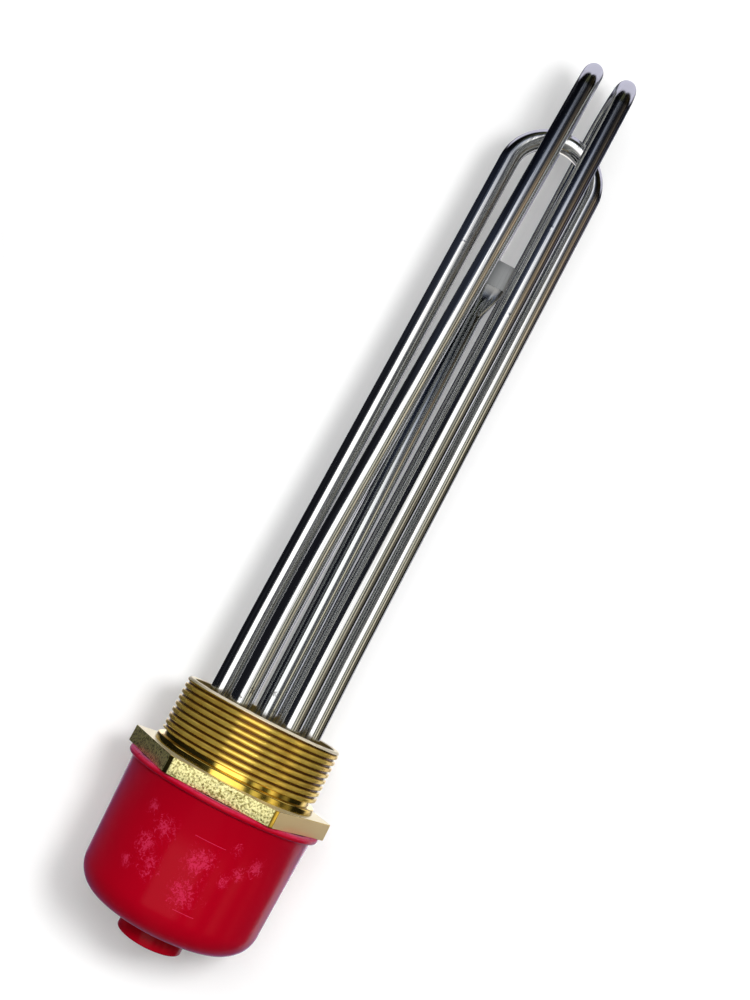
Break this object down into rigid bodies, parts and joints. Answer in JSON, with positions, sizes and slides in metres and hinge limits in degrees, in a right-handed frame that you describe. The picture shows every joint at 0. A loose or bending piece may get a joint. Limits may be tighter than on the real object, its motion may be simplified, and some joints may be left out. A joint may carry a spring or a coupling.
{
  "type": "screw plug immersion heater",
  "caption": "Screw plug immersion heater: hairpin heating elements and a sensor pocket in a brass hexagon plug with a pipe thread, and a red screw cap over the terminals.",
  "frame": {"origin": "centre of the sealing face of the plug's hexagon, on the thread axis", "axes": "+Z along the thread axis to the tips of the elements; the hexagon has corners on X; -Y is the side that the picture shows"},
  "size_m": [0.076, 0.0726, 0.3665],
  "materials": {
    "plug_brass": "turned, with the hexagon as forged",
    "stainless": "polished tube",
    "braze": "silvery braze",
    "magnesia": "pressed powder",
    "resistance_wire": "bare wire",
    "plated_steel": "zinc plated",
    "link_brass": "plain",
    "bead_ceramic": "glazed ceramic",
    "gasket_rubber": "matt",
    "cap_red": "gloss with scuffs"
  },
  "bodies": {
    "plug": {"screw_plug": "plug_brass", "sheath_a": "stainless", "sheath_b": "stainless", "sheath_c": "stainless", "magnesia_a": "magnesia", "magnesia_b": "magnesia", "magnesia_c": "magnesia", "coil_a": "resistance_wire", "coil_b": "resistance_wire", "coil_c": "resistance_wire", "sensor_pocket": "stainless", "braze_rings": "braze", "pin_1": "plated_steel", "pin_2": "plated_steel", "pin_3": "plated_steel", "pin_4": "plated_steel", "pin_5": "plated_steel", "pin_6": "plated_steel", "bead_1": "bead_ceramic", "bead_2": "bead_ceramic", "bead_3": "bead_ceramic", "bead_4": "bead_ceramic", "bead_5": "bead_ceramic", "bead_6": "bead_ceramic", "lock_nut_1": "link_brass", "lock_nut_2": "link_brass", "lock_nut_3": "link_brass", "lock_nut_4": "link_brass", "lock_nut_5": "link_brass", "lock_nut_6": "link_brass", "washer_1": "plated_steel", "washer_2": "plated_steel", "washer_3": "plated_steel", "washer_4": "plated_steel", "washer_5": "plated_steel", "washer_6": "plated_steel", "clamp_nut_1": "link_brass", "clamp_nut_2": "link_brass", "clamp_nut_3": "link_brass", "clamp_nut_4": "link_brass", "clamp_nut_5": "link_brass", "clamp_nut_6": "link_brass", "star_link": "link_brass", "earth_screw": "plug_brass", "earth_washer": "plated_steel"},
    "cap_seal": {"cap_gasket": "gasket_rubber"},
    "cap": {"terminal_cap": "cap_red", "cable_grommet": "gasket_rubber"}
  },
  "joints": [
    {"name": "cap_travel", "type": "slide", "parent": "plug", "child": "cap_seal", "axis": [0, 0, -1], "range_m": [0, 0.01]},
    {"name": "cap_unscrew", "type": "hinge", "parent": "cap_seal", "child": "cap", "pos_m": [0, 0, -0.03], "axis": [0, 0, 1], "range_deg": [-1800, 0]}
  ],
  "couplings": [
    {"joint": "cap_travel", "follows": "cap_unscrew", "m_per_rad": -0.00031831}
  ]
}
